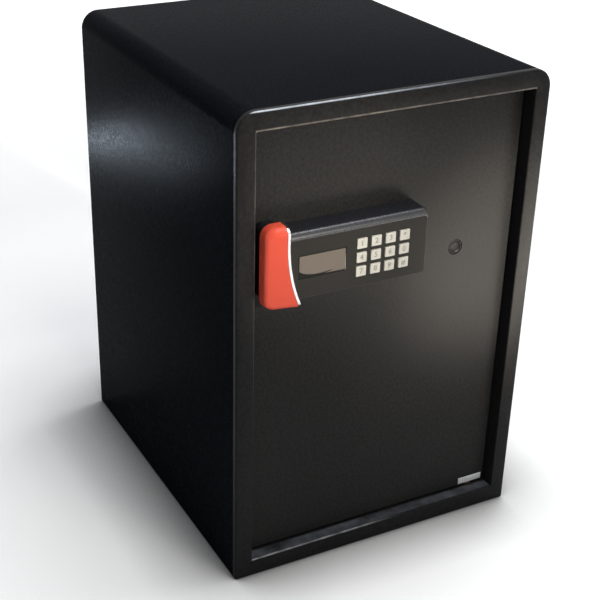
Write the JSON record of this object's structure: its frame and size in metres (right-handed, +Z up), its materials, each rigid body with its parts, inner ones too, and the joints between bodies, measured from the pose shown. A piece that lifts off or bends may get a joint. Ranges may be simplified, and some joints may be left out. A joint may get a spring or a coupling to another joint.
{
  "type": "in-room safe",
  "caption": "Steel cabinet with a recessed right-hung door, keypad panel with display, red pull handle, motor-driven bolts and a shelf inside.",
  "frame": {"origin": "centre of the four base anchor holes on the underside", "axes": "+Z up, +Y from the door to the back, +X to the right seen from the front"},
  "size_m": [0.35, 0.4298, 0.52],
  "materials": {
    "cabinet_paint": "fine textured powder coat",
    "door_paint": "orange-peel powder coat",
    "inner_paint": "satin",
    "steel": "satin",
    "zinc": "zinc plated",
    "bronze": "plain",
    "carpet": "needle felt",
    "black_plastic": "satin",
    "red_plastic": "gloss",
    "chrome": "polished",
    "key_plastic": "satin",
    "window": "gloss",
    "board": "solder mask",
    "rubber": "matt",
    "cell": "gloss wrapper",
    "red_button": "satin",
    "wire_red": "matt",
    "badge": "satin"
  },
  "bodies": {
    "cabinet": {"cabinet_wrap": "cabinet_paint", "base_plate": "cabinet_paint", "back_plate": "cabinet_paint", "front_frame": "cabinet_paint", "hinge_blocks": "inner_paint", "hinge_pins": "steel", "thrust_washer": "bronze", "shelf_rails": "inner_paint", "shelf": "inner_paint", "shelf_mat": "carpet", "floor_mat": "carpet"},
    "door": {"door_plate": "door_paint", "door_hinge_blocks": "inner_paint", "hinge_bushes": "bronze", "cover_standoffs": "zinc", "inner_cover": "inner_paint", "cover_screws": "zinc", "battery_tray": "black_plastic", "battery_contacts": "steel", "batteries": "cell", "guide_studs": "zinc", "lock_motor": "zinc", "motor_clamp": "zinc", "panel_backplate": "zinc", "panel_housing": "black_plastic", "panel_spacers": "zinc", "panel_screws": "zinc", "circuit_board": "board", "key_mat": "rubber", "display_module": "window", "display_window": "window", "handle_base": "black_plastic", "handle_shell": "red_plastic", "handle_trim": "chrome", "handle_screws": "zinc", "lock_body": "zinc", "lock_screws": "zinc", "override_switch": "black_plastic", "switch_post": "zinc", "reset_switch": "black_plastic", "wire_loom": "wire_red", "badge_plate": "badge"},
    "bolt_work": {"bolt_carriage": "steel"},
    "pinion": {"drive_pinion": "key_plastic"},
    "lid": {"battery_lid": "black_plastic"},
    "plug": {"lock_cap": "black_plastic"},
    "barrel": {"lock_barrel": "bronze"},
    "reset": {"reset_button": "red_button"},
    "key_1_body": {"key_1": "key_plastic"},
    "key_2_body": {"key_2": "key_plastic"},
    "key_3_body": {"key_3": "key_plastic"},
    "key_clear_body": {"key_clear": "key_plastic"},
    "key_4_body": {"key_4": "key_plastic"},
    "key_5_body": {"key_5": "key_plastic"},
    "key_6_body": {"key_6": "key_plastic"},
    "key_0_body": {"key_0": "key_plastic"},
    "key_7_body": {"key_7": "key_plastic"},
    "key_8_body": {"key_8": "key_plastic"},
    "key_9_body": {"key_9": "key_plastic"},
    "key_lock_body": {"key_lock": "key_plastic"}
  },
  "joints": [
    {"name": "door_hinge", "type": "hinge", "parent": "cabinet", "child": "door", "pos_m": [0.136, -0.18035, 0.26], "axis": [0, 0, 1], "range_deg": [0, 105]},
    {"name": "bolt_slide", "type": "slide", "parent": "door", "child": "bolt_work", "axis": [-1, 0, 0], "range_m": [0, 0.018]},
    {"name": "pinion_turn", "type": "hinge", "parent": "door", "child": "pinion", "pos_m": [-0.06, -0.159, 0.298], "axis": [0, 1, 0], "range_deg": [0, 129]},
    {"name": "lid_slide", "type": "slide", "parent": "door", "child": "lid", "axis": [1, 0, 0], "range_m": [0, 0.07]},
    {"name": "plug_pull", "type": "slide", "parent": "door", "child": "plug", "axis": [0, -1, 0], "range_m": [0, 0.012]},
    {"name": "key_turn", "type": "hinge", "parent": "door", "child": "barrel", "pos_m": [0.086, -0.174, 0.335], "axis": [0, 1, 0], "range_deg": [0, 90]},
    {"name": "reset_press", "type": "slide", "parent": "door", "child": "reset", "axis": [0, -1, 0], "range_m": [0, 0.0015], "stiffness_N_per_m": 600, "springref_m": -0.0005},
    {"name": "key_1_press", "type": "slide", "parent": "door", "child": "key_1_body", "axis": [0, 1, 0], "range_m": [0, 0.0012], "stiffness_N_per_m": 800, "springref_m": -0.0004},
    {"name": "key_2_press", "type": "slide", "parent": "door", "child": "key_2_body", "axis": [0, 1, 0], "range_m": [0, 0.0012], "stiffness_N_per_m": 800, "springref_m": -0.0004},
    {"name": "key_3_press", "type": "slide", "parent": "door", "child": "key_3_body", "axis": [0, 1, 0], "range_m": [0, 0.0012], "stiffness_N_per_m": 800, "springref_m": -0.0004},
    {"name": "key_clear_press", "type": "slide", "parent": "door", "child": "key_clear_body", "axis": [0, 1, 0], "range_m": [0, 0.0012], "stiffness_N_per_m": 800, "springref_m": -0.0004},
    {"name": "key_4_press", "type": "slide", "parent": "door", "child": "key_4_body", "axis": [0, 1, 0], "range_m": [0, 0.0012], "stiffness_N_per_m": 800, "springref_m": -0.0004},
    {"name": "key_5_press", "type": "slide", "parent": "door", "child": "key_5_body", "axis": [0, 1, 0], "range_m": [0, 0.0012], "stiffness_N_per_m": 800, "springref_m": -0.0004},
    {"name": "key_6_press", "type": "slide", "parent": "door", "child": "key_6_body", "axis": [0, 1, 0], "range_m": [0, 0.0012], "stiffness_N_per_m": 800, "springref_m": -0.0004},
    {"name": "key_0_press", "type": "slide", "parent": "door", "child": "key_0_body", "axis": [0, 1, 0], "range_m": [0, 0.0012], "stiffness_N_per_m": 800, "springref_m": -0.0004},
    {"name": "key_7_press", "type": "slide", "parent": "door", "child": "key_7_body", "axis": [0, 1, 0], "range_m": [0, 0.0012], "stiffness_N_per_m": 800, "springref_m": -0.0004},
    {"name": "key_8_press", "type": "slide", "parent": "door", "child": "key_8_body", "axis": [0, 1, 0], "range_m": [0, 0.0012], "stiffness_N_per_m": 800, "springref_m": -0.0004},
    {"name": "key_9_press", "type": "slide", "parent": "door", "child": "key_9_body", "axis": [0, 1, 0], "range_m": [0, 0.0012], "stiffness_N_per_m": 800, "springref_m": -0.0004},
    {"name": "key_lock_press", "type": "slide", "parent": "door", "child": "key_lock_body", "axis": [0, 1, 0], "range_m": [0, 0.0012], "stiffness_N_per_m": 800, "springref_m": -0.0004}
  ],
  "couplings": [
    {"joint": "pinion_turn", "follows": "bolt_slide", "rad_per_m": 125}
  ]
}
